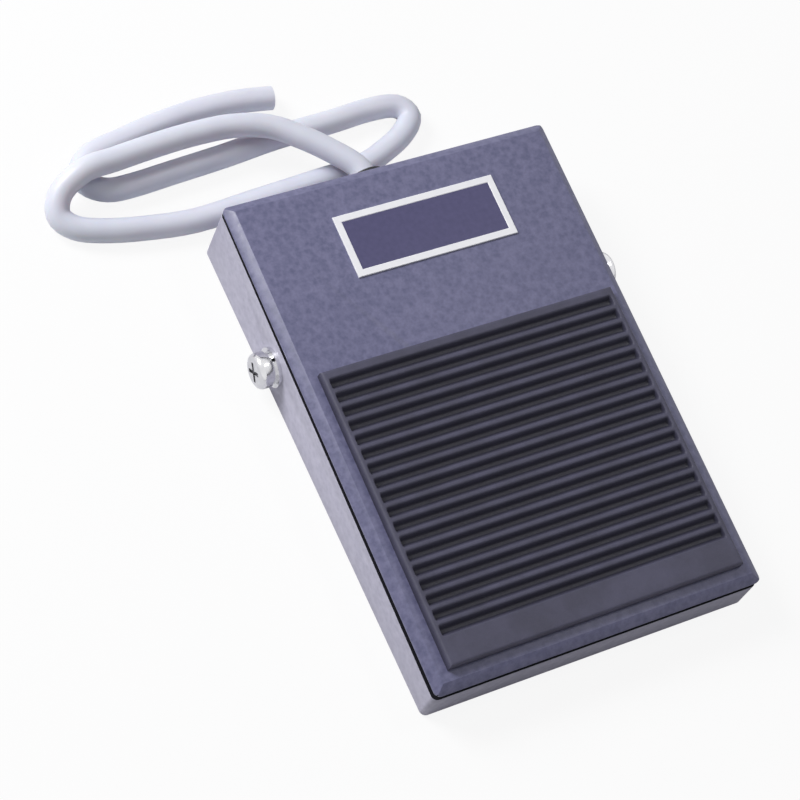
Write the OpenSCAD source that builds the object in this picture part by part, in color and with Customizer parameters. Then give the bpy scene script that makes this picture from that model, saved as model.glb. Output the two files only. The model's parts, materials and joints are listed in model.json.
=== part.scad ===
// Treadle foot switch: a steel tray, a hinged treadle with a ribbed rubber tread,
// a snap-action switch under it, and a mains cord that leaves through the heel.
// The toe is at -Y, the heel at +Y, and the feet stand on Z = 0.

/* [Housing] */
// Width of the housing
housing_w = 80; // [76:0.5:92]
// Length of the housing, toe to heel
housing_l = 115; // [108:0.5:130]
// Height of the tray's wall at the toe
toe_h = 9.3; // [8.8:0.1:10.5]
// Height of the tray's wall at the heel
heel_h = 16.6; // [16:0.1:19]
// Thickness of the steel sheet of tray and treadle
sheet_t = 1.2; // [1:0.05:1.4]
// Radius of the upright corners
corner_r = 1.4; // [1.3:0.1:3]
// How far the tray's underside stands off the ground
foot_stand = 0.5; // [0.4:0.05:1]

/* [Treadle] */
// Open gap between tray and treadle at the toe
toe_gap = 2.0; // [1.8:0.05:2.6]
// Open gap between tray and treadle at the heel
heel_gap = 1.1; // [1:0.05:1.5]
// Height of the upright edge below the bevel
lip_h = 0.4; // [0.3:0.05:0.6]
// Height of the bevel
bevel_h = 1.5; // [1.3:0.05:1.8]
// Width of the bevel
bevel_in = 2.0; // [1.8:0.05:2.4]
// Gap left at the toe when the treadle is fully down
toe_rest = 0.15; // [0.1:0.05:0.3]
// How far the treadle's skirt hangs into the tray
skirt_h = 2.8; // [2.4:0.1:3]
// Thickness of the skirt
skirt_t = 1; // [0.8:0.1:1.2]

/* [Hinge] */
// Distance of the hinge axis from the heel
pivot_from_heel = 34; // [31:0.5:37]
// Height of the hinge axis above the ground
pivot_h = 7.5; // [7.2:0.1:8.5]
// Diameter of the pivot screw's shank
screw_d = 4; // [3.5:0.1:4.2]
// Diameter of the pivot screw's head
head_d = 8; // [7:0.1:8.6]
// Height of the pivot screw's head
head_h = 2.8; // [2.2:0.1:3.2]
// Width of each hinge ear
ear_w = 9; // [8.4:0.1:11]
// Length of the bracket's web along the treadle
web_l = 14; // [12:0.5:18]

/* [Tread] */
// Thickness of the rubber tread
tread_t = 2.4; // [2.2:0.1:3]
// Bare margin at each side of the tread
tread_side = 4; // [3.5:0.1:6]
// Bare margin at the toe end of the tread
tread_toe = 4.2; // [3.5:0.1:6]
// Distance of the tread's heel end from the heel
tread_heel = 42.7; // [40:0.1:46]
// Number of grooves
groove_n = 18; // [8:1:18]
// Distance from groove to groove
groove_pitch = 3.36; // [3:0.02:3.4]
// Width of a groove
groove_w = 1.7; // [1.2:0.05:2]
// Depth of a groove
groove_depth = 1.5; // [1:0.05:1.8]
// Smooth strip before the first groove
groove_start = 3.2; // [2.6:0.1:3.6]
// Smooth border at the ends of the grooves
groove_border = 1.3; // [1.2:0.1:2.5]

/* [Label] */
// Width of the label plate
label_w = 39.7; // [30:0.1:50]
// Length of the label plate along the treadle
label_l = 14.9; // [10:0.1:16]
// Thickness of the label plate
label_t = 0.4; // [0.2:0.05:0.8]
// Distance of the label's middle from the heel
label_from_heel = 16.8; // [14:0.1:20]
// Sideways offset of the label's middle
label_x = 2; // [-3:0.5:3]

/* [Snap switch] */
// Length of the switch case
case_w = 19.8; // [19.4:0.1:21]
// Thickness of the switch case
case_d = 6.4; // [6:0.1:7]
// Height of the switch case
case_h = 10.2; // [10:0.05:10.4]
// Wall of the switch case
case_t = 0.8; // [0.6:0.05:0.9]
// Height of the plunger above the case when free
plunger_out = 1.9; // [1.7:0.05:2]
// Diameter of the plunger
plunger_d = 2.4; // [2:0.1:2.6]
// Distance of the plunger from the hinge axis, towards the toe
plunger_reach = 31.5; // [30:0.5:34]
// Distance between the switch's two mounting holes
case_hole_pitch = 9.5; // [9.3:0.1:9.6]
// Diameter of the switch's mounting screws
case_screw_d = 2.2; // [2:0.05:2.3]
// Thickness of the insulating sheet under the switch
insulation_t = 0.2; // [0.1:0.05:0.3]

/* [Return spring] */
// Outer diameter of the spring
spring_d = 8.4; // [7.8:0.1:9]
// Diameter of the spring wire
wire_d = 0.9; // [0.7:0.05:1]
// Number of coils
spring_turns = 5; // [4:1:6]
// Distance of the spring from the toe
spring_from_toe = 22.5; // [20:0.5:25]

/* [Cord] */
// Outer diameter of the cord
cord_d = 5.5; // [5:0.1:5.5]
// Height of the cord's hole in the heel wall
cord_h = 8.8; // [8.7:0.1:9.5]
// Sideways place of the cord's hole
cord_x = -1; // [-1.5:0.5:1]
// Length of the grommet's outer flange
grommet_out = 3; // [2.5:0.1:3]
// Diameter of each insulated core
core_d = 2; // [1.8:0.05:2]

/* [Hidden] */
$fn = 48;

// Clearances
run = 0.05;        // radial, where one piece turns or slides in another
snug = 0.02;       // radial, where a fixed piece fills a hole
near = 0.3;        // between pieces that pass each other
over = 1;          // how far a cutter runs past a face

// Housing
floor_z = foot_stand + sheet_t;
toe_y = -housing_l / 2;
heel_y = housing_l / 2;
inner_x = housing_w / 2 - sheet_t;
pivot_y = heel_y - pivot_from_heel;

// Treadle plane: the lower edge of its lip runs straight from toe to heel
lip_toe_z = toe_h + toe_gap;
lip_heel_z = heel_h + heel_gap;
treadle_slope = atan((lip_heel_z - lip_toe_z) / housing_l);
treadle_l = housing_l / cos(treadle_slope);
top_t = lip_h + bevel_h;
under_t = top_t - sheet_t;
bevel_angle = atan(bevel_h / bevel_in);
bevel_wall = sheet_t / cos(bevel_angle);
rim_w = max(sheet_t, (bevel_wall - lip_h) / tan(bevel_angle));
cavity_in = (under_t - lip_h + bevel_wall) / tan(bevel_angle);
skirt_gap = 1;
press_angle = asin((toe_gap - toe_rest) / (pivot_y - toe_y));
function wall_z(y) = toe_h + (heel_h - toe_h) * (y - toe_y) / housing_l;
function lip_z(y) = lip_toe_z + (y - toe_y) * tan(treadle_slope);
function under_z(y) = lip_z(y) + under_t / cos(treadle_slope);
function along_treadle(y, z) = (y - toe_y) * cos(treadle_slope) + (z - lip_toe_z) * sin(treadle_slope);
function above_treadle(y, z) = (z - lip_toe_z) * cos(treadle_slope) - (y - toe_y) * sin(treadle_slope);

// Hinge, from the side wall inwards: nut, play, bush flange, ear
nut_h = 2.2;
nut_flats = 7;
hinge_play = 0.1;
bush_flange = 0.5;
bush_wall = 1;
bush_d = screw_d + 2 * bush_wall;
ear_x = inner_x - nut_h - hinge_play - bush_flange;
pin_end_x = ear_x - sheet_t - 1.4;
flat_washer_d = screw_d + 5;
flat_washer_t = 0.8;
spring_washer_d = screw_d + 3;
spring_washer_t = 1.1;
head_x = housing_w / 2 + flat_washer_t + spring_washer_t;
screw_hole_d = screw_d + 0.3;

// Snap switch: its own frame stands on the insulating sheet, plunger side up
switch_z = floor_z + insulation_t;
switch_y = pivot_y - plunger_reach;
plunger_x = 2.3;
switch_x = -plunger_x;
plunger_top_z = switch_z + case_h + plunger_out;
case_top_t = 1;
case_hole_z = 2.9;
case_boss_d = 3.5;
terminal_w = 2.6;
terminal_t = 0.5;
terminal_z = 1;
terminal_out = 6.4;
terminal_x = case_w / 2 - case_t - terminal_w / 2 - 0.3;
strip_t = 0.4;
blade_t = 0.3;
blade_w = 2.4;
blade_z = case_h - case_top_t - 1.95;
blade_hinge_x = -(case_w / 2 - case_t - 0.6);
blade_eye_d = 2 * blade_t;
contact_x = case_w / 2 - case_t - 1.9;
contact_d = 1.8;
contact_out = 0.4;
plunger_travel = plunger_reach * tan(press_angle);
blade_angle = atan(plunger_travel / (plunger_x - blade_hinge_x));
contact_drop = (contact_x + contact_d / 2 - blade_hinge_x) * tan(blade_angle);
bracket_t = 1;
bracket_h = 6.6;
bracket_foot = 8;
bracket_hole_x = 6.5;
small_screw_d = 3;
small_head_d = 5.5;
small_head_h = 1.9;
shank_end_z = foot_stand + 0.1;
case_head_d = 3.8;
case_head_h = 1.3;

// Crimp receptacles on the two wired terminals
crimp_y = case_d / 2 + 2;
crimp_l = 4.8;
crimp_w = 3.6;
crimp_h = 1.7;
crimp_barrel_l = 4;
crimp_barrel_d = 2.2;

// Return spring between its seat and its cup
spring_y = toe_y + spring_from_toe;
seat_d = spring_d + 3.2;
seat_t = 1;
spigot_d = spring_d - 2 * wire_d - 1;
spring_low_z = floor_z + seat_t;
spring_top_z = under_z(spring_y - seat_d / 2) - 0.7;
spring_sides = 8;
ring_per_turn = 20;

// Actuator button
button_d = 6;
button_stem_d = 3;
button_z = plunger_top_z + run;

// Cord clamp, grommet and cores
tail_r = cord_d / 2;
clamp_y = heel_y - 11.5;
clamp_l = 8;
clamp_hole_x = tail_r + 3.45;
clamp_w = 2 * clamp_hole_x + 6;
clamp_split = 0.3;
clamp_top_z = cord_h + tail_r + 1.6;
tail_end_y = clamp_y - clamp_l / 2 - 4;
grommet_neck_d = cord_d + 3;
grommet_flange_d = cord_d + 6;
grommet_in = 1.5;
core_sides = 8;
core_apart = 2.6;
core_up = 0.6;
core_down = 1.5;
// Shares of a core's way in X, Y and Z from the sheath's end to its crimp
core_way = [[0, 0, 0], [0, 0.07, 0.06], [0.3, 0.23, 0.5], [0.7, 0.4, 0.84],
    [1, 0.71, 1], [1, 0.91, 1], [1, 1, 1]];

// Earth terminal on the tray's floor
earth_x = 22;
earth_y = clamp_y - 6;
earth_screw_d = 4;
earth_head_d = 7;
lug_t = 0.8;
lug_d = 8;
lug_reach = 9;
lug_barrel_d = 2.4;
lug_axis_z = 1.3;
core_bow = 4.5;

// Stops and feet
buffer_x = 25;
buffer_w = 7;
buffer_t = skirt_gap - near;
buffer_leg = 5;
foot_d = 10;
foot_sunk = 0.5;
foot_in = 9;

// The cord outside the housing: out of the heel, left, back along the heel wall,
// round a small loop on the right, left again and back to its bare end
cord_route = [
    [cord_x, heel_y + grommet_out, cord_h], [-2, 64, 9], [-6, 69, 9], [-11, 74, 9],
    [-17, 78.5, 9], [-25, 81, 8.8], [-35, 81.5, 8.7], [-45, 81, 8.7], [-54, 80.2, 8.7],
    [-61, 79.6, 8.6], [-67, 77.2, 6], [-69, 73.2, 3.6], [-66.5, 69.6, 2.8], [-61, 67.2, 2.8],
    [-52, 65.2, 2.8], [-40, 63.8, 2.8], [-25, 64.6, 2.8], [-10, 65.4, 2.8], [2, 66.2, 2.8],
    [10, 68.8, 2.8], [15.5, 71.6, 2.8], [19, 75.2, 2.8], [17, 78.8, 2.8], [10, 79.6, 2.8],
    [0, 79, 2.8], [-14, 78.6, 2.8], [-27, 77.4, 2.8], [-40, 76.6, 2.8], [-50, 76, 2.8],
    [-56, 76.4, 2.8], [-59.8, 79.2, 2.8], [-59.6, 83, 2.8], [-56, 85.8, 2.8], [-48, 87.4, 2.8],
    [-39, 89, 2.8], [-29, 90, 2.8], [-19, 89.8, 2.8], [-10.5, 88.6, 2.8]];
cord_sides = 10;

// ---- Helpers ----

function unit(v) = v / norm(v);

// Point between p[i] and p[i + 1] on a smooth curve through all of p
function on_curve(p, i, t) =
    let (a = p[max(i - 1, 0)], b = p[i], c = p[i + 1], d = p[min(i + 2, len(p) - 1)])
    0.5 * (2 * b + (c - a) * t + (2 * a - 5 * b + 4 * c - d) * t * t
        + (3 * b - a - 3 * c + d) * t * t * t);

function smooth(p, steps) = [
    for (i = [0:len(p) - 2], s = [0:steps - 1]) on_curve(p, i, s / steps), p[len(p) - 1]];

function heading(p, i, start, end) =
    i == 0 && !is_undef(start) ? start
    : i == len(p) - 1 && !is_undef(end) ? end
    : unit(p[min(i + 1, len(p) - 1)] - p[max(i - 1, 0)]);

// Round tube swept along the points p. Its ends face along start and end where given
module tube(p, d, sides, start, end) {
    rings = [for (i = [0:len(p) - 1])
        let (along = heading(p, i, start, end), side = unit(cross(along, [0, 0, 1])),
            up = cross(side, along))
        for (k = [0:sides - 1]) p[i] + d / 2 * (cos(360 * k / sides) * side + sin(360 * k / sides) * up)];
    walls = [for (i = [0:len(p) - 2], k = [0:sides - 1], half = [0, 1])
        let (a = i * sides + k, b = i * sides + (k + 1) % sides)
        half == 0 ? [b + sides, a + sides, a] : [b, b + sides, a]];
    last = (len(p) - 1) * sides;
    polyhedron(
        points = rings,
        faces = concat(walls, [[for (k = [sides - 1:-1:0]) k]],
            [[for (k = [0:sides - 1]) last + k]]),
        convexity = 10);
}

module block(low, high) {
    translate(low) cube(high - low);
}

// Plan of a plate with round corners
module round_plan(w, l, r) {
    square([w, l - 2 * r], center = true);
    square([w - 2 * r, l], center = true);
    for (x = [-1, 1], y = [-1, 1]) translate([x * (w / 2 - r), y * (l / 2 - r)]) circle(r);
}

// Side view of a plate whose top edges are bevelled, from 0 to l
function bevel_profile(l, lip, rise, inset) = [
    [0, 0], [l, 0], [l, lip], [l - inset, lip + rise], [inset, lip + rise], [0, lip]];

// Plate with its top bevelled all round, toe edge on the X axis
module bevelled_plate(w, l, lip, rise, inset, r) {
    intersection() {
        translate([-w / 2, l, 0]) rotate([90, 0, 0])
            linear_extrude(l) polygon(bevel_profile(w, lip, rise, inset));
        translate([-w / 2, 0, 0]) rotate([90, 0, 90])
            linear_extrude(w) polygon(bevel_profile(l, lip, rise, inset));
        translate([0, l / 2, 0]) linear_extrude(lip + rise) round_plan(w, l, r);
    }
}

// Frame of the treadle: Y along it from the toe, Z = 0 at its lip's lower edge
module on_treadle() {
    translate([0, toe_y, lip_toe_z]) rotate([treadle_slope, 0, 0]) children();
}

// Everything above a plane parallel to the treadle
module above_plane(h) {
    on_treadle() translate([-housing_w, -housing_l, h])
        cube([2 * housing_w, 3 * housing_l, 3 * heel_h]);
}

module both_sides() {
    children();
    mirror([1, 0, 0]) children();
}

module at_switch() {
    translate([switch_x, switch_y, switch_z]) children();
}

// Rod along +X from x to x + l
module rod_x(d, x, l) {
    translate([x, 0, 0]) rotate([0, 90, 0]) cylinder(d = d, h = l);
}

// Rod along +Y from y to y + l
module rod_y(d, y, l) {
    translate([0, y + l, 0]) rotate([90, 0, 0]) cylinder(d = d, h = l);
}

// Pan head with a cross recess, seat on Z = 0
module pan_head(d, h) {
    round_r = 0.45 * h;
    difference() {
        rotate_extrude() {
            square([d / 2, h - round_r]);
            square([d / 2 - round_r, h]);
            intersection() {
                translate([d / 2 - round_r, h - round_r]) circle(round_r);
                square([d / 2, h]);
            }
        }
        for (a = [0, 90]) rotate(a)
            translate([-0.28 * d, -0.055 * d, h / 2]) cube([0.56 * d, 0.11 * d, h]);
    }
}

// Screw whose head sits on Z = 0 and whose shank hangs below it
module pan_screw(d, length, head_d, head_h) {
    pan_head(head_d, head_h);
    translate([0, 0, -length]) cylinder(d = d, h = length + 0.01);
}

// ---- Housing ----

module floor_hole(x, y, d) {
    translate([x, y, foot_stand - over]) cylinder(d = d + 2 * snug, h = sheet_t + 2 * over);
}

module foot_places() {
    for (x = [-1, 1], y = [-1, 1])
        translate([x * (housing_w / 2 - foot_in), y * (housing_l / 2 - foot_in), 0]) children();
}

// Side view of the tray, its top rising to the heel
module tray_side(bottom, side, rise) {
    polygon([[toe_y + side, bottom], [heel_y - side, bottom],
        [heel_y - side, wall_z(heel_y - side) + rise], [toe_y + side, wall_z(toe_y + side) + rise]]);
}

module base_tray() {
    color("lavender") difference() {
        intersection() {
            translate([-housing_w / 2, 0, 0]) rotate([90, 0, 90])
                linear_extrude(housing_w) tray_side(foot_stand, 0, 0);
            linear_extrude(2 * heel_h) round_plan(housing_w, housing_l, corner_r);
        }
        difference() {
            intersection() {
                translate([-inner_x, 0, 0]) rotate([90, 0, 90])
                    linear_extrude(2 * inner_x) tray_side(floor_z, sheet_t, 2 * over);
                linear_extrude(3 * heel_h)
                    round_plan(2 * inner_x, housing_l - 2 * sheet_t, max(corner_r - sheet_t, 0.2));
            }
            foot_places() cylinder(d = foot_d + 2 * sheet_t, h = floor_z + foot_sunk);
        }
        foot_places() translate([0, 0, -over])
            cylinder(d = foot_d + 2 * snug, h = foot_stand + foot_sunk + over);
        translate([0, pivot_y, pivot_h]) rod_x(screw_hole_d, -housing_w, 2 * housing_w);
        translate([cord_x, 0, cord_h])
            rod_y(grommet_neck_d + 2 * snug, heel_y - 2 * sheet_t, 4 * sheet_t);
        for (x = [-1, 1]) {
            floor_hole(switch_x + x * bracket_hole_x, switch_y - case_d / 2 - bracket_t - bracket_foot / 2,
                small_screw_d);
            floor_hole(cord_x + x * clamp_hole_x, clamp_y, small_screw_d);
        }
        floor_hole(0, spring_y, small_screw_d);
        floor_hole(earth_x, earth_y, earth_screw_d);
    }
}

module rubber_feet() {
    color("dimgray") foot_places() cylinder(d = foot_d, h = foot_stand + foot_sunk);
}

// Rubber corners clipped inside the heel wall, which the treadle's lip rests on
module stop_buffers() {
    outer_y = heel_y - 0.1;
    wall_y = heel_y - sheet_t;
    leg_y = wall_y - buffer_t;
    color("dimgray") both_sides() translate([buffer_x - buffer_w / 2, 0, 0]) rotate([90, 0, 90])
        linear_extrude(buffer_w) polygon([
            [outer_y, wall_z(outer_y)], [outer_y, lip_z(outer_y) - 0.1], [leg_y, lip_z(leg_y) - 0.1],
            [leg_y, wall_z(leg_y) - buffer_leg], [wall_y, wall_z(leg_y) - buffer_leg],
            [wall_y, wall_z(wall_y)]]);
}

// ---- Treadle ----

// Pressed plate with a bevelled rim, and a skirt that hangs inside the tray's walls
module treadle_cover() {
    skirt_w = 2 * (inner_x - skirt_gap);
    skirt_l = housing_l - 2 * (sheet_t + skirt_gap);
    color("slategray") difference() {
        on_treadle() {
            difference() {
                bevelled_plate(housing_w, treadle_l, lip_h, bevel_h, bevel_in, corner_r);
                translate([0, rim_w, -over])
                    bevelled_plate(housing_w - 2 * rim_w, treadle_l - 2 * rim_w, over, under_t,
                        cavity_in - rim_w, 0.2);
            }
            translate([0, treadle_l / 2, -skirt_h]) linear_extrude(skirt_h + under_t + 0.01)
                difference() {
                    round_plan(skirt_w, skirt_l, corner_r);
                    square([skirt_w - 2 * skirt_t, skirt_l - 2 * skirt_t], center = true);
                }
        }
        translate([0, switch_y, button_z]) cylinder(d = button_stem_d + 2 * snug, h = heel_h);
    }
}

// Ribbed rubber tread glued to the treadle, its ribs across the foot's way
module tread_pad() {
    pad_w = housing_w - 2 * tread_side;
    pad_l = housing_l - tread_heel - tread_toe;
    edge = 0.8;
    first = tread_toe + pad_l - groove_start;
    color("darkslateblue") on_treadle() difference() {
        translate([0, tread_toe, top_t])
            bevelled_plate(pad_w, pad_l, tread_t - edge, edge, edge, 2);
        for (i = [0:groove_n - 1])
            translate([-pad_w / 2 + groove_border, first - i * groove_pitch - groove_w / 2,
                top_t + tread_t - groove_depth])
                cube([pad_w - 2 * groove_border, groove_w, groove_depth + over]);
    }
}

module label_plate() {
    color("white") on_treadle()
        translate([label_x, treadle_l - label_from_heel, top_t]) linear_extrude(label_t)
            round_plan(label_w, label_l, 0.6);
}

// Channel spot-welded under the treadle, with an ear at each end for the pivot
module hinge_bracket() {
    ear_y = along_treadle(pivot_y, pivot_h);
    ear_z = above_treadle(pivot_y, pivot_h);
    color("silver") on_treadle() difference() {
        union() {
            block([-ear_x, ear_y - web_l / 2, under_t - sheet_t], [ear_x, ear_y + web_l / 2, under_t]);
            both_sides() translate([ear_x - sheet_t, ear_y, 0]) {
                block([0, -ear_w / 2, ear_z], [sheet_t, ear_w / 2, under_t]);
                translate([0, 0, ear_z]) rod_x(ear_w, 0, sheet_t);
            }
        }
        translate([0, ear_y, ear_z]) rod_x(bush_d + 2 * snug, -housing_w, 2 * housing_w);
    }
}

module pivot_bushes() {
    color("white") both_sides() translate([0, pivot_y, pivot_h]) difference() {
        union() {
            rod_x(bush_d + 2 * bush_wall, ear_x, bush_flange);
            rod_x(bush_d, ear_x - sheet_t - 0.4, sheet_t + 0.4 + bush_flange);
        }
        rod_x(screw_d + 2 * run, ear_x - housing_w / 4, housing_w / 2);
    }
}

module pivot_screws() {
    color("gainsboro") both_sides() translate([0, pivot_y, pivot_h]) {
        translate([head_x, 0, 0]) rotate([0, 90, 0]) rotate(45) pan_head(head_d, head_h);
        rod_x(screw_d, pin_end_x, head_x - pin_end_x + 0.01);
    }
}

// Split rings between the screws' heads and the flat washers
module spring_washers() {
    color("silver") both_sides()
        translate([housing_w / 2 + flat_washer_t, pivot_y, pivot_h]) difference() {
            rod_x(spring_washer_d, 0, spring_washer_t);
            rod_x(screw_hole_d, -over, spring_washer_t + 2 * over);
            rotate([0, 0, 35]) translate([-over, -0.4, 0])
                cube([spring_washer_t + 3 * over, 0.8, spring_washer_d]);
        }
}

module flat_washers() {
    color("silver") both_sides() translate([housing_w / 2, pivot_y, pivot_h]) difference() {
        rod_x(flat_washer_d, 0, flat_washer_t);
        rod_x(screw_hole_d, -over, flat_washer_t + 2 * over);
    }
}

module pivot_nuts() {
    color("silver") both_sides() translate([inner_x - nut_h, pivot_y, pivot_h]) difference() {
        rotate([0, 90, 0]) cylinder(d = nut_flats / cos(30), h = nut_h, $fn = 6);
        rod_x(screw_d + 2 * snug, -over, nut_h + 2 * over);
    }
}

// ---- Return spring ----

// Height of the wire's middle after t turns: one closed coil at each end
function coil_z(t, span) =
    let (closed = 1.03 * wire_d, pitch = (span - 2 * closed) / (spring_turns - 2))
    closed * min(t, 1) + pitch * min(max(t - 1, 0), spring_turns - 2)
        + closed * max(t - spring_turns + 1, 0);

module return_spring() {
    span = spring_top_z - spring_low_z - wire_d - 0.1;
    r = (spring_d - wire_d) / 2;
    path = [for (i = [0:spring_turns * ring_per_turn])
        [r * cos(360 * i / ring_per_turn), r * sin(360 * i / ring_per_turn),
            coil_z(i / ring_per_turn, span)]];
    color("silver") translate([0, spring_y, spring_low_z + wire_d / 2 + 0.05])
        tube(path, wire_d, spring_sides);
}

module spring_seat() {
    color("dimgray") translate([0, spring_y, 0]) {
        translate([0, 0, floor_z]) cylinder(d = seat_d, h = seat_t);
        translate([0, 0, spring_low_z - 0.01]) cylinder(d = spigot_d, h = 3);
        translate([0, 0, shank_end_z]) cylinder(d = small_screw_d, h = sheet_t);
    }
}

module spring_cup() {
    color("silver") difference() {
        translate([0, spring_y, spring_top_z]) {
            cylinder(d = seat_d, h = 6);
            translate([0, 0, -2]) cylinder(d = spigot_d, h = 3);
        }
        above_plane(under_t);
    }
}

// Nylon button riveted through the treadle under the tread, over the plunger
module actuator_button() {
    color("white") translate([0, switch_y, button_z]) {
        difference() {
            cylinder(d = button_d, h = 8);
            translate([0, -switch_y, -button_z]) above_plane(under_t);
        }
        difference() {
            cylinder(d = button_stem_d, h = 8);
            translate([0, -switch_y, -button_z]) above_plane(top_t);
        }
    }
}

// ---- Snap switch ----

module switch_case() {
    inside = case_w / 2 - case_t;
    color("black") at_switch() difference() {
        block([-case_w / 2, case_t - case_d / 2, 0], [case_w / 2, case_d / 2, case_h]);
        difference() {
            block([-inside, -case_d, case_t], [inside, case_d / 2 - case_t, case_h - case_top_t]);
            case_bosses();
        }
        case_holes(case_screw_d + 2 * snug);
        translate([plunger_x, 0, case_h - 2 * case_top_t])
            cylinder(d = plunger_d + 2 * run, h = 4 * case_top_t);
        for (x = [-terminal_x, 0, terminal_x])
            block([x - terminal_w / 2 - snug, case_d / 2 - 2 * case_t, terminal_z - snug],
                [x + terminal_w / 2 + snug, case_d, terminal_z + terminal_t + snug]);
    }
}

module case_bosses() {
    for (x = [-1, 1]) translate([x * case_hole_pitch / 2, 0, case_hole_z])
        rod_y(case_boss_d, case_t - case_d / 2, case_d);
}

module case_holes(d) {
    for (x = [-1, 1]) translate([x * case_hole_pitch / 2, 0, case_hole_z])
        rod_y(d, -case_d, 2 * case_d);
}

module switch_lid() {
    color("dimgray") at_switch() difference() {
        block([-case_w / 2, -case_d / 2, 0], [case_w / 2, case_t - case_d / 2, case_h]);
        case_holes(case_screw_d + 2 * snug);
    }
}

module switch_plunger() {
    collar_t = 0.6;
    foot_z = blade_z + blade_t + run;
    color("firebrick") at_switch() translate([plunger_x, 0, 0]) {
        translate([0, 0, foot_z]) cylinder(d = plunger_d / 2, h = 1);
        translate([0, 0, foot_z + 0.4])
            cylinder(d = plunger_d, h = case_h + plunger_out - foot_z - 0.4);
        translate([0, 0, case_h - case_top_t - 0.1 - collar_t])
            cylinder(d = plunger_d + 1.2, h = collar_t);
    }
}

// Springy blade whose rolled end rocks on the common terminal, with the moving contact
module contact_blade() {
    color("goldenrod") at_switch() {
        block([blade_hinge_x, -blade_w / 2, blade_z],
            [contact_x + contact_d / 2 + 0.1, blade_w / 2, blade_z + blade_t]);
        translate([blade_hinge_x, 0, blade_z + blade_eye_d / 2]) rod_y(blade_eye_d, -blade_w / 2, blade_w);
        translate([contact_x, 0, blade_z - contact_out])
            cylinder(d = contact_d, h = blade_t + 2 * contact_out);
    }
}

module terminal_blade(x, inner_y) {
    block([x - terminal_w / 2, inner_y, terminal_z],
        [x + terminal_w / 2, case_d / 2 + terminal_out, terminal_z + terminal_t]);
}

// Common, break and make terminals, each with its riser inside the case
module switch_terminals() {
    rear_y = case_d / 2 - case_t;
    common_x = -terminal_x - terminal_w / 2;
    break_z = blade_z + blade_t + contact_out + run;
    make_z = blade_z - contact_out - contact_drop - run;
    color("goldenrod") at_switch() {
        terminal_blade(-terminal_x, -blade_w / 2);
        block([common_x, -blade_w / 2, terminal_z], [common_x + strip_t, blade_w / 2, blade_z - run]);

        terminal_blade(0, rear_y - strip_t);
        block([-1, rear_y - strip_t, terminal_z], [1, rear_y, break_z + 2 * strip_t]);
        block([-1, rear_y - strip_t, break_z], [contact_x + 0.9, rear_y, break_z + 2 * strip_t]);
        block([contact_x - 0.9, -1, break_z + strip_t], [contact_x + 0.9, rear_y, break_z + 2 * strip_t]);
        translate([contact_x, 0, break_z]) cylinder(d = contact_d - 0.2, h = strip_t + 0.1);

        terminal_blade(terminal_x, -blade_w / 2);
        block([terminal_x + terminal_w / 2 - strip_t, -blade_w / 2, terminal_z],
            [terminal_x + terminal_w / 2, blade_w / 2, make_z - strip_t]);
        block([contact_x - 0.9, -blade_w / 2, make_z - 2 * strip_t],
            [terminal_x + terminal_w / 2, blade_w / 2, make_z - strip_t]);
        translate([contact_x, 0, make_z - strip_t - 0.1])
            cylinder(d = contact_d - 0.2, h = strip_t + 0.1);
    }
}

// Angle that holds the switch upright on the floor
module switch_bracket() {
    half = case_w / 2 + 0.8;
    back_y = -case_d / 2 - bracket_t;
    color("silver") at_switch() difference() {
        union() {
            block([-half, back_y, -insulation_t], [half, -case_d / 2, bracket_h]);
            block([-half, back_y - bracket_foot, -insulation_t],
                [half, back_y + 0.01, bracket_t - insulation_t]);
        }
        case_holes(case_screw_d + 2 * snug);
        for (x = [-1, 1]) translate([x * bracket_hole_x, back_y - bracket_foot / 2, -over])
            cylinder(d = small_screw_d + 2 * snug, h = 3 * over);
    }
}

module bracket_screws() {
    seat_z = floor_z + bracket_t;
    color("gainsboro") for (x = [-1, 1])
        translate([switch_x + x * bracket_hole_x,
            switch_y - case_d / 2 - bracket_t - bracket_foot / 2, seat_z])
            pan_screw(small_screw_d, seat_z - shank_end_z, small_head_d, small_head_h);
}

module switch_screws() {
    shank = case_d + bracket_t + 0.4;
    color("gainsboro") at_switch() for (x = [-1, 1])
        translate([x * case_hole_pitch / 2, case_d / 2, case_hole_z]) rotate([-90, 0, 0])
            pan_screw(case_screw_d, shank, case_head_d, case_head_h);
}

module insulating_sheet() {
    color("beige") at_switch()
        block([-case_w / 2 - 1.5, -case_d / 2, -insulation_t],
            [case_w / 2 + 1.5, case_d / 2 + terminal_out + 1, 0]);
}

module crimp_receptacles() {
    mid_z = terminal_z + terminal_t / 2;
    color("goldenrod") at_switch() for (x = [-terminal_x, terminal_x]) difference() {
        union() {
            block([x - crimp_w / 2, crimp_y, mid_z - crimp_h / 2],
                [x + crimp_w / 2, crimp_y + crimp_l, mid_z + crimp_h / 2]);
            translate([x, 0, mid_z])
                rod_y(crimp_barrel_d, crimp_y + crimp_l - 0.1, crimp_barrel_l + 0.1);
        }
        block([x - terminal_w / 2 - snug, crimp_y - over, terminal_z - snug],
            [x + terminal_w / 2 + snug, case_d / 2 + terminal_out + snug,
                terminal_z + terminal_t + snug]);
    }
}

// ---- Cord and its fixings ----

module clamp_base() {
    color("black") difference() {
        block([cord_x - clamp_w / 2, clamp_y - clamp_l / 2, floor_z],
            [cord_x + clamp_w / 2, clamp_y + clamp_l / 2, cord_h - clamp_split]);
        clamp_cuts();
    }
}

module clamp_bar() {
    color("black") difference() {
        block([cord_x - clamp_w / 2, clamp_y - clamp_l / 2, cord_h + clamp_split],
            [cord_x + clamp_w / 2, clamp_y + clamp_l / 2, clamp_top_z]);
        clamp_cuts();
    }
}

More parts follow.
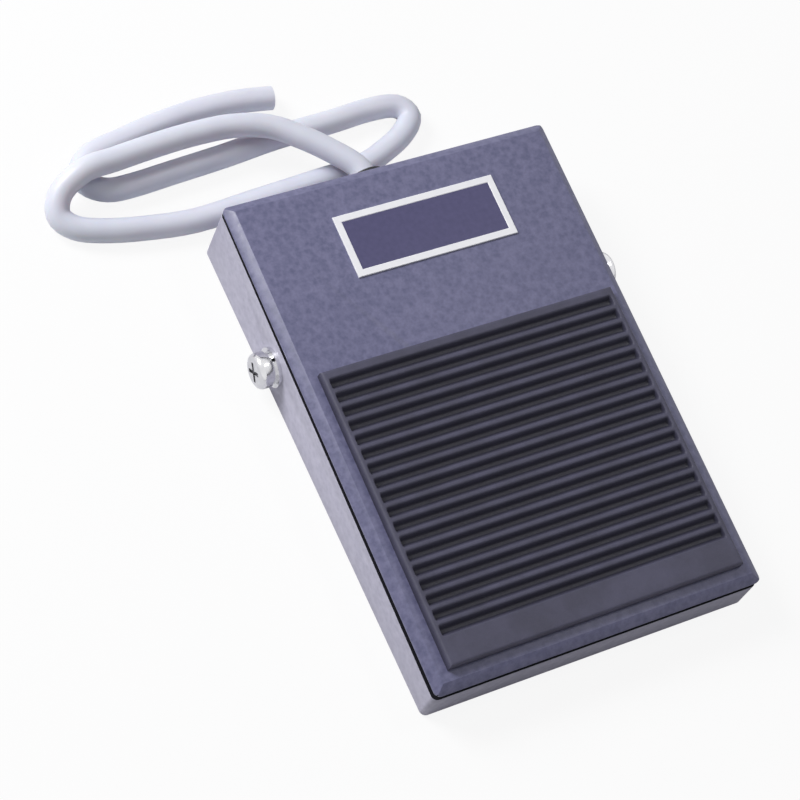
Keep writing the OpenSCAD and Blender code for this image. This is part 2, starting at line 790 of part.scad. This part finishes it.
module clamp_cuts() {
    translate([cord_x, 0, cord_h]) rod_y(cord_d + 2 * snug, clamp_y - clamp_l, 2 * clamp_l);
    for (x = [-1, 1]) translate([cord_x + x * clamp_hole_x, clamp_y, 0])
        cylinder(d = small_screw_d + 2 * snug, h = 2 * clamp_top_z);
}

module clamp_screws() {
    color("gainsboro") for (x = [-1, 1])
        translate([cord_x + x * clamp_hole_x, clamp_y, clamp_top_z])
            pan_screw(small_screw_d, clamp_top_z - shank_end_z, small_head_d, small_head_h);
}

module cord_grommet() {
    wall_y = heel_y - sheet_t;
    color("black") translate([cord_x, 0, cord_h]) difference() {
        union() {
            rod_y(grommet_flange_d, wall_y - grommet_in, grommet_in);
            rod_y(grommet_neck_d, wall_y - 0.1, sheet_t + 0.2);
            rod_y(grommet_flange_d, heel_y, 1.5);
            rod_y(grommet_neck_d, heel_y, grommet_out);
        }
        rod_y(cord_d + 2 * snug, wall_y - 2 * grommet_in, 8 * grommet_in);
    }
}

module cord_tail() {
    color("lightgray") translate([cord_x, 0, cord_h])
        rod_y(cord_d, tail_end_y, heel_y + grommet_out - tail_end_y);
}

module cord() {
    color("lightgray") tube(smooth(cord_route, 2), cord_d, cord_sides, start = [0, 1, 0]);
}

// A core from the sheath's end a, down to the crimp barrel b in front of it
function core_path(a, b) = smooth([for (q = core_way) a + [for (i = [0:2]) q[i] * (b - a)[i]]], 2);

function barrel_end(side) = [
    switch_x + side * terminal_x, switch_y + crimp_y + crimp_l + crimp_barrel_l,
    switch_z + terminal_z + terminal_t / 2];

module core_brown() {
    color("saddlebrown")
        tube(core_path([cord_x - core_apart / 2, tail_end_y, cord_h + core_up], barrel_end(-1)),
            core_d, core_sides, start = [0, -1, 0], end = [0, -1, 0]);
}

module core_blue() {
    color("royalblue")
        tube(core_path([cord_x + core_apart / 2, tail_end_y, cord_h + core_up], barrel_end(1)),
            core_d, core_sides, start = [0, -1, 0], end = [0, -1, 0]);
}

module core_earth() {
    a = [cord_x, tail_end_y, cord_h - core_down];
    b = [earth_x - lug_reach, earth_y, floor_z + lug_axis_z];
    reach = b.x - a.x;
    color("yellowgreen") tube(smooth([
        a, a + core_bow * [0.05, -0.55, -0.18], [a.x + 0.14 * reach, a.y - core_bow, 0.5 * (a.z + b.z)],
        [a.x + 0.43 * reach, a.y - 0.85 * core_bow, b.z + 0.05 * core_bow],
        b - reach * [0.28, 0.085, 0], b - reach * [0.1, 0, 0], b], 2),
        core_d, core_sides, start = [0, -1, 0], end = [1, 0, 0]);
}

module earth_lug() {
    color("goldenrod") translate([earth_x, earth_y, floor_z]) difference() {
        union() {
            cylinder(d = lug_d, h = lug_t);
            block([-lug_reach / 2 - 0.5, -1, 0], [-lug_d / 2 + 0.3, 1, lug_axis_z]);
            translate([0, 0, lug_axis_z]) rod_x(lug_barrel_d, -lug_reach, lug_reach / 2);
        }
        translate([0, 0, -over]) cylinder(d = earth_screw_d + 2 * snug, h = 3 * over);
    }
}

module earth_screw() {
    seat_z = floor_z + lug_t;
    color("gainsboro") translate([earth_x, earth_y, seat_z])
        pan_screw(earth_screw_d, seat_z - shank_end_z, earth_head_d, 0.6 * earth_screw_d);
}

base_tray();
treadle_cover();
tread_pad();
label_plate();
hinge_bracket();
pivot_bushes();
pivot_screws();
spring_washers();
flat_washers();
pivot_nuts();
return_spring();
spring_seat();
spring_cup();
actuator_button();
switch_case();
switch_lid();
switch_plunger();
contact_blade();
switch_terminals();
switch_bracket();
bracket_screws();
switch_screws();
insulating_sheet();
crimp_receptacles();
clamp_base();
clamp_bar();
clamp_screws();
cord_grommet();
cord_tail();
core_brown();
core_blue();
core_earth();
earth_lug();
earth_screw();
stop_buffers();
rubber_feet();
cord();
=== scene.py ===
import json
import math

import bmesh
import bpy
from mathutils import Matrix, Vector


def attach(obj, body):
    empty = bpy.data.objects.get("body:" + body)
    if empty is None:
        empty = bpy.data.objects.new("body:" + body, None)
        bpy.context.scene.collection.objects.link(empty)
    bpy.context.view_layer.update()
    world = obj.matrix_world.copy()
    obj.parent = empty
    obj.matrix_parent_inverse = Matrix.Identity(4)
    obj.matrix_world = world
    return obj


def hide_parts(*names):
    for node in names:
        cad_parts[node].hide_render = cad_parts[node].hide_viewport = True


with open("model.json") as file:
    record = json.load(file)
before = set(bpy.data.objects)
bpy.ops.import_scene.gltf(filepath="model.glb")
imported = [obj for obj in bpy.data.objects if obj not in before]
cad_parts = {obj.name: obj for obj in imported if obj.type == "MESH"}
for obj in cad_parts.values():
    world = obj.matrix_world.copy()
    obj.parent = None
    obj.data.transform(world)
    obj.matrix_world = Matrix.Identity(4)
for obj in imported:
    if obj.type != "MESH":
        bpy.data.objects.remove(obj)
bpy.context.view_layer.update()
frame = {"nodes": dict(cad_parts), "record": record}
MM = 0.001
NODES = frame["nodes"]

# Housing, and the treadle's plane from the heights of its lip at the toe and the heel
HOUSING_W, HOUSING_L, CORNER_R = 80 * MM, 115 * MM, 1.4 * MM
TOE_Y = -HOUSING_L / 2
LIP_TOE_Z, LIP_HEEL_Z = 11.3 * MM, 17.7 * MM
SLOPE = math.atan((LIP_HEEL_Z - LIP_TOE_Z) / HOUSING_L)
TREADLE_L = HOUSING_L / math.cos(SLOPE)
LIP_H, BEVEL_H, BEVEL_IN = 0.4 * MM, 1.5 * MM, 2.0 * MM
TOP_T = LIP_H + BEVEL_H
ON_TREADLE = Matrix.Translation((0, TOE_Y, LIP_TOE_Z)) @ Matrix.Rotation(SLOPE, 4, "X")


# ---- Camera ----

# Fitted to the housing's corners as the photograph shows them, turn in degrees
CAMERA_PLACE = (-0.2506, -0.1771, 0.5018)
CAMERA_TURN = (27.5373, -15.0882, -25.1631)
CAMERA_LENS = 121.05


def make_camera():
    data = bpy.data.cameras.new("camera")
    data.sensor_width = 36
    data.lens = CAMERA_LENS
    data.clip_start, data.clip_end = 0.05, 20
    camera = bpy.data.objects.new("camera", data)
    bpy.context.scene.collection.objects.link(camera)
    camera.location = CAMERA_PLACE
    camera.rotation_euler = [math.radians(angle) for angle in CAMERA_TURN]
    bpy.context.scene.camera = camera


make_camera()


# ---- Materials ----

class Nodes:
    """Short names for building one material's nodes."""

    def __init__(self, name):
        self.material = bpy.data.materials.new(name)
        self.material.use_nodes = True
        self.tree = self.material.node_tree
        self.shader = self.tree.nodes["Principled BSDF"]
        self.place = self.add("ShaderNodeTexCoord").outputs["Object"]

    def add(self, kind, inputs=None, **settings):
        node = self.tree.nodes.new(kind)
        for key, value in settings.items():
            setattr(node, key, value)
        for key, value in (inputs or {}).items():
            self.feed(node.inputs[key], value)
        return node

    def feed(self, socket, value):
        if isinstance(value, bpy.types.NodeSocket):
            self.tree.links.new(value, socket)
        else:
            socket.default_value = value

    def noise(self, size_mm, detail=2.0, rough=0.5, place=None):
        node = self.add("ShaderNodeTexNoise", {
            "Vector": place or self.place, "Scale": 1000 / size_mm,
            "Detail": detail, "Roughness": rough})
        return node.outputs["Fac"]

    def cells(self, size_mm):
        node = self.add("ShaderNodeTexVoronoi", {
            "Vector": self.place, "Scale": 1000 / size_mm}, feature="SMOOTH_F1")
        return node.outputs["Distance"]

    def stretch(self, scale):
        return self.add("ShaderNodeMapping", {"Vector": self.place, "Scale": scale}).outputs[0]

    def math(self, operation, a, b):
        return self.add("ShaderNodeMath", {0: a, 1: b}, operation=operation).outputs[0]

    def span(self, value, low, high, to_low=0.0, to_high=1.0):
        return self.add("ShaderNodeMapRange", {
            "Value": value, "From Min": low, "From Max": high,
            "To Min": to_low, "To Max": to_high}, interpolation_type="SMOOTHSTEP").outputs[0]

    def mix(self, share, a, b):
        node = self.add("ShaderNodeMix", data_type="RGBA")
        for key, value in (("Factor_Float", share), ("A_Color", a), ("B_Color", b)):
            self.feed(next(s for s in node.inputs if s.identifier == key), value)
        return next(s for s in node.outputs if s.identifier == "Result_Color")

    def bump(self, height, depth_mm, strength=1.0, under=None):
        inputs = {"Height": height, "Distance": depth_mm * MM, "Strength": strength}
        if under is not None:
            inputs["Normal"] = under
        return self.add("ShaderNodeBump", inputs).outputs[0]

    def finish(self, **sockets):
        for key, value in sockets.items():
            self.feed(self.shader.inputs[key.replace("_", " ")], value)
        return self.material


def srgb(r, g, b):
    """A colour given as 0 to 255, as the shader's linear colour."""
    def linear(v):
        v /= 255
        return v / 12.92 if v <= 0.04045 else ((v + 0.055) / 1.055) ** 2.4
    return (linear(r), linear(g), linear(b), 1)


def hammer_paint(name, dark, light, rough):
    """Hammer-finish enamel: dimpled film, a little lighter on its high spots."""
    n = Nodes(name)
    dimples = n.cells(1.5)
    fine = n.noise(0.7, 3)
    broad = n.noise(28, 2)
    tone = n.math("ADD", n.math("MULTIPLY", n.span(dimples, 0.1, 0.8), 0.45),
                  n.math("MULTIPLY", n.span(fine, 0.25, 0.75), 0.35))
    tone = n.math("ADD", tone, n.math("MULTIPLY", broad, 0.2))
    bump = n.bump(dimples, 0.05, 0.35)
    bump = n.bump(fine, 0.02, 0.25, bump)
    gloss = n.span(fine, 0.2, 0.8, rough - 0.06, rough + 0.08)
    return n.finish(Base_Color=n.mix(tone, dark, light), Roughness=gloss, Normal=bump,
                    Specular_IOR_Level=0.5)


def make_materials():
    m = {}
    m["cover_paint"] = hammer_paint("cover_paint", srgb(78, 80, 112), srgb(118, 117, 148), 0.42)
    m["tray_paint"] = hammer_paint("tray_paint", srgb(160, 158, 176), srgb(186, 184, 200), 0.45)

    n = Nodes("tread_rubber")
    grain = n.noise(0.35, 3, 0.6)
    bloom = n.noise(9, 3, 0.6)
    # Painted shade: rib_height makes the rubber darker in the grooves and down the pad's sides
    # than on the rib tops, and the bloom noise varies this at random.
    high = n.add("ShaderNodeAttribute", attribute_name="rib_height").outputs["Fac"]
    bloom_and_groove_shade = n.math("MULTIPLY", high, n.span(bloom, 0.3, 0.75, 0.55, 1.0))
    m["tread_rubber"] = n.finish(
        Base_Color=n.mix(bloom_and_groove_shade, srgb(24, 23, 38), srgb(70, 69, 90)),
        Roughness=n.span(grain, 0.2, 0.8, 0.5, 0.68), Normal=n.bump(grain, 0.04, 0.3))

    # Near-black painted shade for the tray's inside and rim top and for the treadle's underside:
    # it stands in for the shadow in the gap between treadle and tray.
    n = Nodes("gap_painted_shade")
    m["gap_painted_shade"] = n.finish(
        Base_Color=n.mix(n.noise(2, 3), srgb(16, 16, 22), srgb(28, 28, 36)), Roughness=0.85,
        Specular_IOR_Level=0.2, Normal=n.bump(n.noise(0.4), 0.01, 0.2))

    n = Nodes("label_white")
    m["label_white"] = n.finish(
        Base_Color=n.mix(n.noise(2.5), srgb(238, 238, 244), srgb(250, 250, 252)),
        Roughness=0.35, Normal=n.bump(n.noise(0.5), 0.01, 0.2))
    n = Nodes("label_dark")
    m["label_dark"] = n.finish(
        Base_Color=n.mix(n.noise(1.2, 3), srgb(54, 52, 92), srgb(74, 70, 112)), Roughness=0.38,
        Normal=n.bump(n.noise(0.5), 0.01, 0.2))

    n = Nodes("zinc_steel")
    haze = n.noise(3, 4, 0.6)
    m["zinc_steel"] = n.finish(
        Base_Color=n.mix(haze, srgb(150, 150, 148), srgb(196, 196, 192)), Metallic=1.0,
        Roughness=n.span(haze, 0.2, 0.8, 0.32, 0.48),
        Normal=n.bump(n.noise(0.5, 3), 0.01, 0.3))
    n = Nodes("bright_steel")
    turned = n.noise(0.4, 3, 0.5, n.stretch((6, 1, 1)))
    m["bright_steel"] = n.finish(
        Base_Color=n.mix(n.noise(2), srgb(206, 206, 210), srgb(236, 236, 238)), Metallic=1.0,
        Roughness=n.span(turned, 0.2, 0.8, 0.12, 0.24), Normal=n.bump(turned, 0.01, 0.15))
    n = Nodes("spring_steel")
    m["spring_steel"] = n.finish(
        Base_Color=n.mix(n.noise(1.5, 3), srgb(96, 96, 98), srgb(134, 134, 134)), Metallic=1.0,
        Roughness=0.36, Normal=n.bump(n.noise(0.4), 0.01, 0.2))
    n = Nodes("nylon")
    m["nylon"] = n.finish(
        Base_Color=n.mix(n.noise(3), srgb(214, 210, 196), srgb(228, 225, 214)), Roughness=0.45,
        Subsurface_Weight=0.1, Normal=n.bump(n.noise(0.6), 0.01, 0.2))
    n = Nodes("case_black")
    m["case_black"] = n.finish(
        Base_Color=n.mix(n.noise(1.2, 3), srgb(26, 26, 28), srgb(42, 42, 44)),
        Roughness=n.span(n.noise(0.8), 0.2, 0.8, 0.42, 0.58),
        Normal=n.bump(n.noise(0.3, 2), 0.02, 0.3))
    n = Nodes("plunger_red")
    m["plunger_red"] = n.finish(
        Base_Color=n.mix(n.noise(1), srgb(150, 30, 26), srgb(176, 44, 36)), Roughness=0.3,
        Normal=n.bump(n.noise(0.4), 0.01, 0.2))
    n = Nodes("contact_brass")
    tarnish = n.noise(1.6, 4, 0.6)
    m["contact_brass"] = n.finish(
        Base_Color=n.mix(tarnish, srgb(158, 122, 66), srgb(206, 172, 100)), Metallic=1.0,
        Roughness=n.span(tarnish, 0.2, 0.8, 0.26, 0.42),
        Normal=n.bump(n.noise(0.3), 0.01, 0.2))
    n = Nodes("fish_paper")
    fibre = n.noise(0.5, 4, 0.7, n.stretch((1, 4, 1)))
    m["fish_paper"] = n.finish(
        Base_Color=n.mix(fibre, srgb(170, 156, 126), srgb(198, 186, 156)), Roughness=0.8,
        Normal=n.bump(fibre, 0.03, 0.4))
    n = Nodes("black_rubber")
    grain = n.noise(0.4, 3, 0.6)
    m["black_rubber"] = n.finish(
        Base_Color=n.mix(grain, srgb(22, 22, 26), srgb(38, 38, 44)),
        Roughness=n.span(grain, 0.2, 0.8, 0.55, 0.72), Normal=n.bump(grain, 0.03, 0.3))

    n = Nodes("cord_pvc")
    mottle = n.noise(7, 2)
    fine = n.noise(0.5, 2)
    m["cord_pvc"] = n.finish(
        Base_Color=n.mix(mottle, srgb(206, 207, 222), srgb(222, 223, 234)),
        Roughness=n.span(fine, 0.2, 0.8, 0.36, 0.5), Subsurface_Weight=0.08,
        Normal=n.bump(fine, 0.01, 0.3))
    for name, dark, light in (("pvc_brown", (66, 36, 20), (86, 48, 26)),
                              ("pvc_blue", (26, 66, 140), (38, 84, 164))):
        n = Nodes(name)
        m[name] = n.finish(
            Base_Color=n.mix(n.noise(2), srgb(*dark), srgb(*light)), Roughness=0.34,
            Normal=n.bump(n.noise(0.5), 0.01, 0.2))
    n = Nodes("pvc_earth")
    stripe = n.add("ShaderNodeTexWave", {"Vector": n.place, "Scale": 90.0},
                   bands_direction="DIAGONAL")
    m["pvc_earth"] = n.finish(
        Base_Color=n.mix(n.span(stripe.outputs["Fac"], 0.45, 0.55), srgb(44, 110, 40),
                         srgb(214, 200, 40)),
        Roughness=0.34, Normal=n.bump(n.noise(0.5), 0.01, 0.2))
    return m


MATERIALS = make_materials()


# ---- Cord ----

# The route of part.scad's cord_route, here in millimetres as there
CORD_ROUTE = [
    (-1, 60.5, 8.8), (-2, 64, 9), (-6, 69, 9), (-11, 74, 9),
    (-17, 78.5, 9), (-25, 81, 8.8), (-35, 81.5, 8.7), (-45, 81, 8.7), (-54, 80.2, 8.7),
    (-61, 79.6, 8.6), (-67, 77.2, 6), (-69, 73.2, 3.6), (-66.5, 69.6, 2.8), (-61, 67.2, 2.8),
    (-52, 65.2, 2.8), (-40, 63.8, 2.8), (-25, 64.6, 2.8), (-10, 65.4, 2.8), (2, 66.2, 2.8),
    (10, 68.8, 2.8), (15.5, 71.6, 2.8), (19, 75.2, 2.8), (17, 78.8, 2.8), (10, 79.6, 2.8),
    (0, 79, 2.8), (-14, 78.6, 2.8), (-27, 77.4, 2.8), (-40, 76.6, 2.8), (-50, 76, 2.8),
    (-56, 76.4, 2.8), (-59.8, 79.2, 2.8), (-59.6, 83, 2.8), (-56, 85.8, 2.8), (-48, 87.4, 2.8),
    (-39, 89, 2.8), (-29, 90, 2.8), (-19, 89.8, 2.8), (-10.5, 88.6, 2.8)]
CORD_D = 5.5 * MM


def smooth_route(p, steps):
    """The same smooth curve through all points as in part.scad."""
    out = []
    for i in range(len(p) - 1):
        a, b, c, d = p[max(i - 1, 0)], p[i], p[i + 1], p[min(i + 2, len(p) - 1)]
        for s in range(steps):
            t = s / steps
            out.append(0.5 * (2 * b + (c - a) * t + (2 * a - 5 * b + 4 * c - d) * t * t
                              + (3 * b - a - 3 * c + d) * t * t * t))
    return out + [p[-1]]


def make_cord():
    points = smooth_route([Vector(q) * MM for q in CORD_ROUTE], 4)
    data = bpy.data.curves.new("mains_cord", "CURVE")
    data.dimensions = "3D"
    data.bevel_depth = CORD_D / 2
    data.bevel_resolution = 6
    data.use_fill_caps = True
    line = data.splines.new("POLY")
    line.points.add(len(points) - 1)
    for q, p in zip(line.points, points):
        q.co = (*p, 1)
    line.use_smooth = True
    cord = bpy.data.objects.new("mains_cord", data)
    bpy.context.scene.collection.objects.link(cord)
    data.materials.append(MATERIALS["cord_pvc"])
    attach(cord, "tray")
    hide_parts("cord")


make_cord()


# ---- Pieces with eased edges, over the solids ----

def mesh_object(name, bm, material, body, node, smooth_angle=35):
    mesh = bpy.data.meshes.new(name)
    bm.to_mesh(mesh)
    bm.free()
    for one in (material if isinstance(material, list) else [material]):
        mesh.materials.append(MATERIALS[one])
    mesh.shade_smooth()
    mesh.set_sharp_from_angle(angle=math.radians(smooth_angle))
    piece = bpy.data.objects.new(name, mesh)
    bpy.context.scene.collection.objects.link(piece)
    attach(piece, body)
    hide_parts(*([node] if isinstance(node, str) else node))
    return piece


TRAY_EASE, TREADLE_EASE = 0.12 * MM, 0.3 * MM
RIM_SKIN = 0.3 * MM


def eased_copy(name, node, body, slot, width, inside):
    """The solid's own shape with its sharp edges rounded.

    inside tells which faces get the near-black painted shade that stands in for the shadow in the
    gap between treadle and tray."""
    bm = bmesh.new()
    bm.from_mesh(NODES[node].data)
    bmesh.ops.remove_doubles(bm, verts=bm.verts, dist=1e-6)
    bmesh.ops.dissolve_limit(bm, angle_limit=math.radians(0.6), verts=bm.verts, edges=bm.edges,
                             use_dissolve_boundaries=False)
    sharp = [e for e in bm.edges
             if len(e.link_faces) == 2 and e.calc_face_angle(0) > math.radians(24)]
    bmesh.ops.bevel(bm, geom=sharp, offset=width, offset_type="OFFSET", segments=2, profile=0.5,
                    affect="EDGES", clamp_overlap=True)
    for face in bm.faces:
        face.material_index = 1 if inside(face.calc_center_median(), face.normal) else 0
    # The faces that inside picks get the near-black painted shade of the gap between treadle and
    # tray.
    return mesh_object(name, bm, [slot, "gap_painted_shade"], body, node)


# Picks the tray faces that get the near-black painted shade of the gap: its inside and its rim
# top.
def inside_tray(p, normal):
    """Whether p lies behind the tray's outer wall, whose upright corners are round."""
    skin = 0.2 * MM
    in_x, in_y = abs(p.x) - HOUSING_W / 2 + CORNER_R, abs(p.y) - HOUSING_L / 2 + CORNER_R
    depth = CORNER_R - (math.hypot(in_x, in_y) if in_x > 0 and in_y > 0 else max(in_x, in_y))
    return depth > skin and p.z > 0.9 * MM


# Picks the treadle faces that get the near-black painted shade of the gap: its underside and its
# lip's bottom.
def under_treadle(p, normal):
    """Whether p is on the treadle's underside, inside its skirt or under its top."""
    q = ON_TREADLE.inverted() @ p
    in_skirt = abs(p.x) < HOUSING_W / 2 - RIM_SKIN and abs(p.y) < HOUSING_L / 2 - RIM_SKIN
    margin = BEVEL_IN + 0.5 * MM
    in_top = abs(p.x) < HOUSING_W / 2 - margin and abs(p.y) < HOUSING_L / 2 - margin
    return q.z < 0.02 * MM or normal.z < 0 and in_skirt or q.z < TOP_T - 0.5 * MM and in_top


eased_copy("tray_shell", "base_tray", "tray", "tray_paint", TRAY_EASE, inside_tray)
eased_copy("treadle_shell", "treadle_cover", "treadle", "cover_paint", TREADLE_EASE, under_treadle)


# ---- Ribbed tread ----

TREAD_SIDE, TREAD_TOE, TREAD_HEEL, TREAD_T = 4 * MM, 4.2 * MM, 42.7 * MM, 2.4 * MM
GROOVE_N, GROOVE_PITCH, GROOVE_W, GROOVE_DEPTH = 18, 3.36 * MM, 1.7 * MM, 1.5 * MM
GROOVE_START, GROOVE_BORDER = 3.2 * MM, 1.3 * MM
PAD_W = HOUSING_W - 2 * TREAD_SIDE
PAD_L = HOUSING_L - TREAD_HEEL - TREAD_TOE


def step(value, low, high):
    t = min(max((value - low) / (high - low), 0), 1)
    return t * t * (3 - 2 * t)


def make_tread():
    """Height field over the pad: rounded ribs, grooves short of its sides, a rounded rim."""
    edge = 0.7 * MM
    draft = 0.55 * MM
    half = PAD_W / 2
    heel_end = TREAD_TOE + PAD_L
    first = heel_end - GROOVE_START

    ease = [0, 0.05, 0.15, 0.3, 0.5, 0.75, 1]
    rim = [edge * t for t in ease]
    ends = [GROOVE_BORDER + draft * (t - 0.5) for t in (0, 0.2, 0.4, 0.6, 0.8, 1)]
    left = sorted(set(rim + ends))
    xs = [-half + v for v in left]
    xs += [-half + left[-1] + (PAD_W - 2 * left[-1]) * i / 24 for i in range(1, 24)]
    xs += [half - v for v in reversed(left)]

    fine = GROOVE_PITCH / 16
    ys = [TREAD_TOE + v for v in rim]
    low = first - (GROOVE_N - 0.5) * GROOVE_PITCH
    ys += [TREAD_TOE + edge + (low - TREAD_TOE - edge) * i / 6 for i in range(1, 6)]
    ys += [low + fine * i for i in range(int(GROOVE_N * 16) + 1)]
    top = ys[-1]
    ys += [top + (heel_end - edge - top) * i / 3 for i in (1, 2)]
    ys += [heel_end - v for v in reversed(rim)]

    def height(x, y):
        inside_x = half - abs(x)
        inside_y = min(y - TREAD_TOE, heel_end - y)
        round_x = 1 - math.sqrt(max(0, 1 - (1 - min(inside_x / edge, 1)) ** 2))
        round_y = 1 - math.sqrt(max(0, 1 - (1 - min(inside_y / edge, 1)) ** 2))
        drop = edge * max(round_x, round_y)
        along = (first - y) / GROOVE_PITCH
        i = round(along)
        groove = 0
        if -0.5 < along and 0 <= i < GROOVE_N:
            off = abs(along - i) * GROOVE_PITCH
            groove = 1 - step(off, GROOVE_W / 2 - draft, GROOVE_W / 2 + draft)
        groove *= step(inside_x, GROOVE_BORDER - draft / 2, GROOVE_BORDER + draft / 2)
        return TOP_T + TREAD_T - drop - GROOVE_DEPTH * groove, 1 - groove

    bm = bmesh.new()
    # rib_height carries the painted groove shade into the rubber's colour: 1 on rib tops, 0 in
    # grooves.
    layer = bm.verts.layers.float.new("rib_height")
    rows = []
    for y in ys:
        row = []
        for x in xs:
            z, rise = height(x, y)
            v = bm.verts.new(ON_TREADLE @ Vector((x, y, z)))
            v[layer] = rise
            row.append(v)
        rows.append(row)
    for a, b in zip(rows, rows[1:]):
        for i in range(len(xs) - 1):
            bm.faces.new((a[i], a[i + 1], b[i + 1], b[i]))
    ring = rows[0] + [r[-1] for r in rows[1:]] + rows[-1][-2::-1] + [r[0] for r in rows[-2:0:-1]]
    foot = []
    inverse = ON_TREADLE.inverted()
    for v in ring:
        low_point = inverse @ v.co
        low_point.z = TOP_T
        w = bm.verts.new(ON_TREADLE @ low_point)
        # The pad's sides get 0.3, so their colour is darker towards the plate: painted shade.
        w[layer] = 0.3
        foot.append(w)
    for i in range(len(ring)):
        j = (i + 1) % len(ring)
        bm.faces.new((ring[j], ring[i], foot[i], foot[j]))
    bm.faces.new(list(reversed(foot)))
    bmesh.ops.recalc_face_normals(bm, faces=bm.faces)
    mesh_object("ribbed_tread", bm, "tread_rubber", "treadle", "tread_pad", 60)


make_tread()


# ---- Label: bare plate with a printed frame ----

LABEL_W, LABEL_L, LABEL_T = 39.7 * MM, 14.9 * MM, 0.4 * MM
LABEL_FROM_HEEL, LABEL_X = 16.8 * MM, 2 * MM
LABEL_EASE, LABEL_FRAME, PRINT_SUNK = 0.1 * MM, 1.5 * MM, 0.08 * MM


def make_label():
    bm = bmesh.new()
    middle = Vector((LABEL_X, TREADLE_L - LABEL_FROM_HEEL, TOP_T))
    rings = [(0, 0), (0, LABEL_T - LABEL_EASE), (LABEL_EASE, LABEL_T), (LABEL_FRAME, LABEL_T),
             (LABEL_FRAME + LABEL_EASE, LABEL_T - PRINT_SUNK)]
    loops = []
    for inset, z in rings:
        half_w, half_l = LABEL_W / 2 - inset, LABEL_L / 2 - inset
        corners = [Vector((sx * half_w, sy * half_l, z))
                   for sx, sy in ((-1, -1), (1, -1), (1, 1), (-1, 1))]
        loops.append([bm.verts.new(ON_TREADLE @ (middle + corner)) for corner in corners])
    for a, b in zip(loops, loops[1:]):
        for i in range(4):
            bm.faces.new((a[i], a[(i + 1) % 4], b[(i + 1) % 4], b[i]))
    dark = bm.faces.new(loops[-1])
    dark.material_index = 1
    bm.faces.new(list(reversed(loops[0])))
    bmesh.ops.recalc_face_normals(bm, faces=bm.faces)
    mesh_object("label_face", bm, ["label_white", "label_dark"], "treadle", "label_plate")


make_label()


# ---- Materials of the solids that stay ----

SLOT_LOOK = {"label_print": "label_white"}
for part in frame["record"]["subparts"]:
    node = NODES[part["node"]]
    look = MATERIALS[SLOT_LOOK.get(part["material_slot"], part["material_slot"])]
    node.data.materials.clear()
    node.data.materials.append(look)


# ---- Stage and light ----

def make_stage():
    bm = bmesh.new()
    bmesh.ops.create_grid(bm, x_segments=1, y_segments=1, size=4)
    mesh = bpy.data.meshes.new("floor")
    bm.to_mesh(mesh)
    bm.free()
    floor = bpy.data.objects.new("floor", mesh)
    bpy.context.scene.collection.objects.link(floor)
    material = bpy.data.materials.new("floor_white")
    material.use_nodes = True
    tree = material.node_tree
    tree.nodes.clear()
    plain = tree.nodes.new("ShaderNodeBsdfDiffuse")
    plain.inputs["Color"].default_value = (0.86, 0.86, 0.87, 1)
    glow = tree.nodes.new("ShaderNodeEmission")
    glow.inputs["Color"].default_value = (1, 1, 1, 1)
    glow.inputs["Strength"].default_value = 1.0
    path = tree.nodes.new("ShaderNodeLightPath")
    seen = tree.nodes.new("ShaderNodeMath")
    seen.operation = "MULTIPLY"
    seen.inputs[1].default_value = 0.9
    tree.links.new(path.outputs["Is Camera Ray"], seen.inputs[0])
    mix = tree.nodes.new("ShaderNodeMixShader")
    out = tree.nodes.new("ShaderNodeOutputMaterial")
    tree.links.new(seen.outputs[0], mix.inputs["Fac"])
    tree.links.new(plain.outputs[0], mix.inputs[1])
    tree.links.new(glow.outputs[0], mix.inputs[2])
    tree.links.new(mix.outputs[0], out.inputs["Surface"])
    mesh.materials.append(material)


def lamp(name, place, aim, size, watts):
    data = bpy.data.lights.new(name, "AREA")
    data.shape = "SQUARE"
    data.size = size
    data.energy = watts
    light = bpy.data.objects.new(name, data)
    bpy.context.scene.collection.objects.link(light)
    light.location = place
    light.rotation_euler = (Vector(aim) - Vector(place)).to_track_quat("-Z", "Y").to_euler()


WORLD_STRENGTH = 0.18
LAMP_AWAY = 0.9
# Name, direction towards it, what it shines at, side and watts of each lamp
LAMPS = [("key", (-0.53, 0.56, 0.64), (0, 0, 0.01), 0.35, 7.5),
         ("glint", (0.447, 0.06, 0.892), (0, -0.03, 0.01), 0.16, 0.9)]


def make_light():
    world = bpy.data.worlds.new("studio")
    world.use_nodes = True
    bpy.context.scene.world = world
    tree = world.node_tree
    tree.nodes.clear()
    dim = tree.nodes.new("ShaderNodeBackground")
    dim.inputs["Color"].default_value = (0.95, 0.95, 1, 1)
    dim.inputs["Strength"].default_value = WORLD_STRENGTH
    white = tree.nodes.new("ShaderNodeBackground")
    white.inputs["Color"].default_value = (1, 1, 1, 1)
    white.inputs["Strength"].default_value = 1
    path = tree.nodes.new("ShaderNodeLightPath")
    mix = tree.nodes.new("ShaderNodeMixShader")
    out = tree.nodes.new("ShaderNodeOutputWorld")
    seen = path.outputs["Is Camera Ray"]
    for ray in ("Is Glossy Ray", "Is Transmission Ray"):
        either = tree.nodes.new("ShaderNodeMath")
        either.operation = "MAXIMUM"
        tree.links.new(seen, either.inputs[0])
        tree.links.new(path.outputs[ray], either.inputs[1])
        seen = either.outputs[0]
    tree.links.new(seen, mix.inputs["Fac"])
    tree.links.new(dim.outputs[0], mix.inputs[1])
    tree.links.new(white.outputs[0], mix.inputs[2])
    tree.links.new(mix.outputs[0], out.inputs["Surface"])
    for name, towards, aim, size, watts in LAMPS:
        lamp(name, Vector(towards) * LAMP_AWAY, aim, size, watts)


make_stage()
make_light()
bpy.context.scene.view_settings.view_transform = "Standard"
